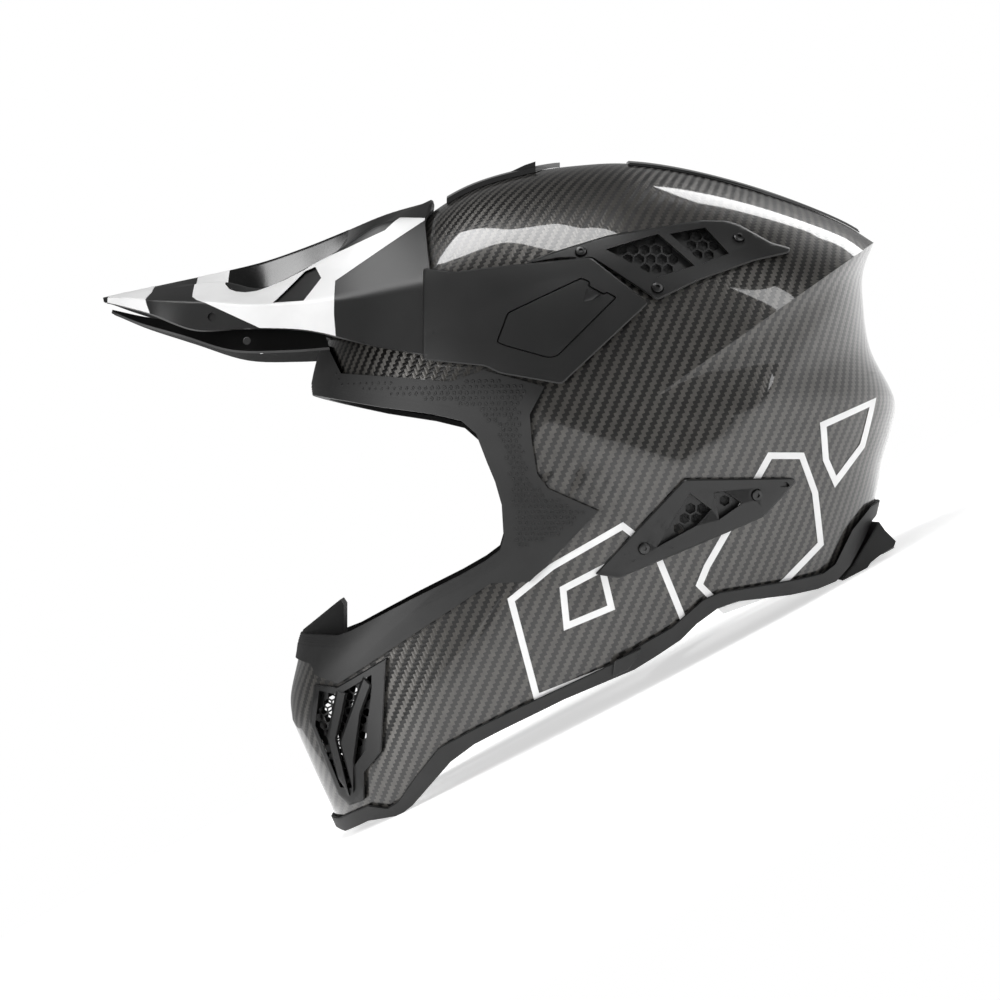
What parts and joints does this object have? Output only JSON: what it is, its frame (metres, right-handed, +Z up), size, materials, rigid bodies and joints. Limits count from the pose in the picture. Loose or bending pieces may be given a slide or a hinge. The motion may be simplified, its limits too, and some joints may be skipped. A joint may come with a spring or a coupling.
{
  "type": "motocross helmet",
  "caption": "Full-face off-road helmet with a tilting peak, wide eye port, chin bar, vents, padded liner and a buckled chin strap, standing on its lower edge.",
  "frame": {"origin": "centre of the helmet's footprint box, on the table it stands on", "axes": "+Z up, the face looks along -Y and is tipped 27.5 degrees nose-up as the helmet stands, +X is the wearer's left"},
  "size_m": [0.2628, 0.4239, 0.3375],
  "materials": {
    "carbon": "clear-coated woven carbon",
    "foam": "matte expanded foam",
    "liner_fabric": "brushed knit",
    "trim_rubber": "matte, fine dots",
    "gloss_black": "gloss",
    "grey_plastic": "matte",
    "peak_plastic": "satin with white and gloss black fields",
    "satin_plastic": "satin",
    "webbing": "woven",
    "ring_steel": "bright",
    "screw_steel": "blackened",
    "red_fabric": "woven"
  },
  "bodies": {
    "helmet": {"shell": "carbon", "impact_liner": "foam", "brow_pad": "liner_fabric", "crown_pad": "liner_fabric", "nape_pad": "liner_fabric", "chin_foam": "foam", "neck_roll": "liner_fabric", "eyeport_trim": "trim_rubber", "rim_trim": "trim_rubber", "forehead_vent": "gloss_black", "crown_strip": "gloss_black", "neck_plate": "trim_rubber", "neck_tab": "grey_plastic", "cheek_pad_left": "liner_fabric", "rim_joint_clip_left": "trim_rubber", "upper_vent_left": "satin_plastic", "side_vent_left": "satin_plastic", "chin_vent_left": "satin_plastic", "chin_mesh_left": "satin_plastic", "upper_grille_left_1": "satin_plastic", "side_grille_left_1": "satin_plastic", "side_screw_left_1": "screw_steel", "upper_grille_left_2": "satin_plastic", "side_grille_left_2": "satin_plastic", "side_screw_left_2": "screw_steel", "upper_screw_left_1": "screw_steel", "upper_screw_left_2": "screw_steel", "upper_screw_left_3": "screw_steel", "peak_screw_left": "screw_steel", "strap_rivet_left": "ring_steel", "pull_tab_left": "red_fabric", "cheek_pad_right": "liner_fabric", "rim_joint_clip_right": "trim_rubber", "upper_vent_right": "satin_plastic", "side_vent_right": "satin_plastic", "chin_vent_right": "satin_plastic", "chin_mesh_right": "satin_plastic", "upper_grille_right_1": "satin_plastic", "side_grille_right_1": "satin_plastic", "side_screw_right_1": "screw_steel", "upper_grille_right_2": "satin_plastic", "side_grille_right_2": "satin_plastic", "side_screw_right_2": "screw_steel", "upper_screw_right_1": "screw_steel", "upper_screw_right_2": "screw_steel", "upper_screw_right_3": "screw_steel", "peak_screw_right": "screw_steel", "strap_rivet_right": "ring_steel", "pull_tab_right": "red_fabric"},
    "peak": {"peak_shell": "peak_plastic", "peak_underplate": "satin_plastic"},
    "cover_left": {"pivot_cover_left": "peak_plastic"},
    "cover_right": {"pivot_cover_right": "peak_plastic"},
    "strap": {"strap_left": "webbing", "strap_right": "webbing", "strap_pad_left": "liner_fabric", "strap_pad_right": "liner_fabric"},
    "ring_upper": {"d_ring_upper": "ring_steel"},
    "ring_lower": {"d_ring_lower": "ring_steel"}
  },
  "joints": [
    {"name": "peak_tilt", "type": "hinge", "parent": "helmet", "child": "peak", "pos_m": [0, 0.02828, 0.1969], "axis": [-1, 0, 0], "range_deg": [-3, 6]},
    {"name": "cover_left_open", "type": "hinge", "parent": "peak", "child": "cover_left", "pos_m": [0.12131, -0.00549, 0.20456], "axis": [0.1181, -0.7386, -0.6637], "range_deg": [0, 60]},
    {"name": "cover_right_open", "type": "hinge", "parent": "peak", "child": "cover_right", "pos_m": [-0.12131, -0.00549, 0.20456], "axis": [0.1181, 0.7386, 0.6637], "range_deg": [0, 60]},
    {"name": "strap_swing", "type": "hinge", "parent": "helmet", "child": "strap", "pos_m": [0, -0.01779, 0.08674], "axis": [1, 0, 0], "range_deg": [-15, 15]},
    {"name": "ring_upper_turn", "type": "hinge", "parent": "strap", "child": "ring_upper", "pos_m": [-0.06277, -0.01779, 0.0382], "axis": [0, -1, 0], "range_deg": [0, 25]},
    {"name": "ring_lower_turn", "type": "hinge", "parent": "strap", "child": "ring_lower", "pos_m": [-0.06615, -0.01779, 0.03374], "axis": [0, 1, 0], "range_deg": [0, 25]}
  ]
}
